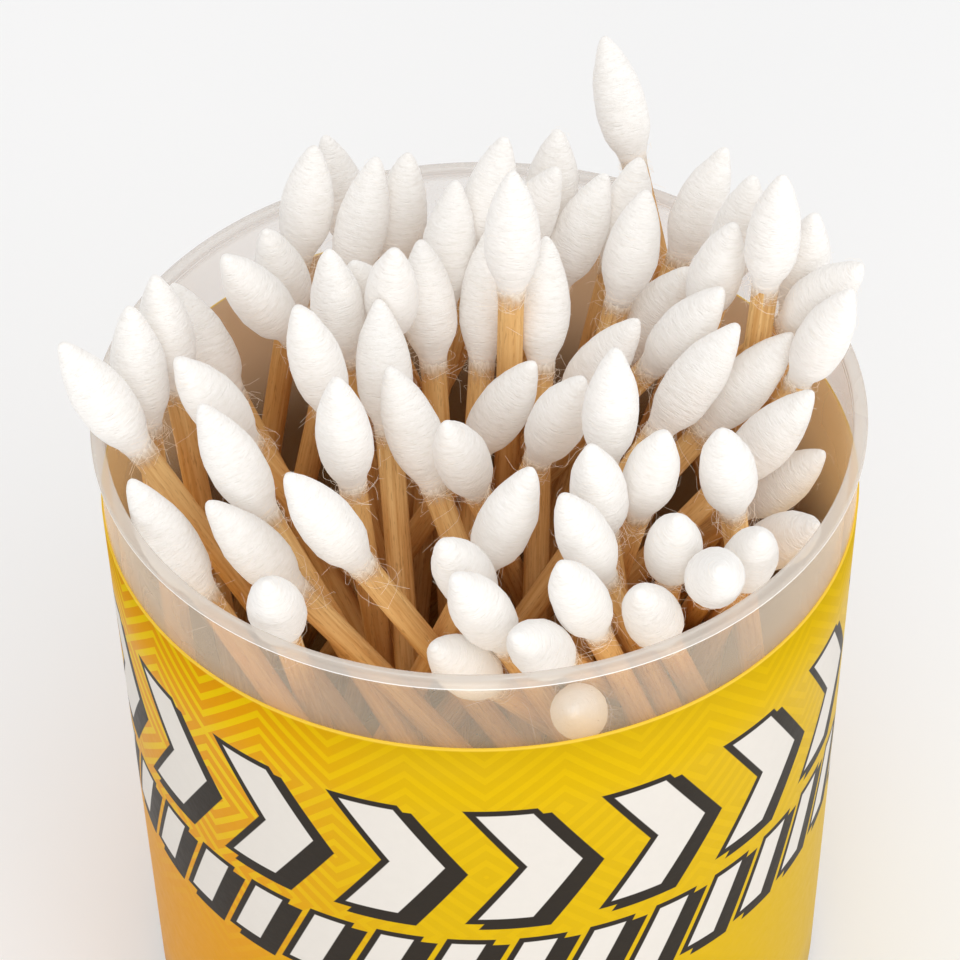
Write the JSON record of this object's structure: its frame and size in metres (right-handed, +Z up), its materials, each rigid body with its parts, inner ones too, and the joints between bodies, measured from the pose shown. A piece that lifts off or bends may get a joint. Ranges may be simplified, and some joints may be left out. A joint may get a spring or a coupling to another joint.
{
  "type": "cotton swab tub",
  "caption": "Open round clear plastic tub with a yellow printed wrap label, full of wooden-stick cotton swabs with pointed tips.",
  "frame": {"origin": "centre of the tub's flat underside, where it stands", "axes": "+Z up along the tub's axis, +X to the right and +Y to the back as the label's front is seen"},
  "size_m": [0.0634, 0.062, 0.0842],
  "materials": {
    "clear_plastic": "translucent, slightly frosted",
    "label_film": "printed, satin",
    "wood": "bare, fine grain",
    "cotton": "wound cotton, matt"
  },
  "bodies": {
    "root": {"label": "label_film", "lower_tips_back": "cotton", "lower_tips_back_left": "cotton", "lower_tips_back_right": "cotton", "lower_tips_centre": "cotton", "lower_tips_centre_left": "cotton", "lower_tips_front": "cotton", "lower_tips_front_right": "cotton", "lower_tips_left_front": "cotton", "lower_tips_right": "cotton", "sticks_back": "wood", "sticks_back_left": "wood", "sticks_back_right": "wood", "sticks_centre": "wood", "sticks_centre_left": "wood", "sticks_front": "wood", "sticks_front_right": "wood", "sticks_left_front": "wood", "sticks_right": "wood", "tub": "clear_plastic", "upper_tips_back": "cotton", "upper_tips_back_left": "cotton", "upper_tips_back_right": "cotton", "upper_tips_centre": "cotton", "upper_tips_centre_left": "cotton", "upper_tips_front": "cotton", "upper_tips_front_right": "cotton", "upper_tips_left_front": "cotton", "upper_tips_right": "cotton"}
  },
  "joints": []
}
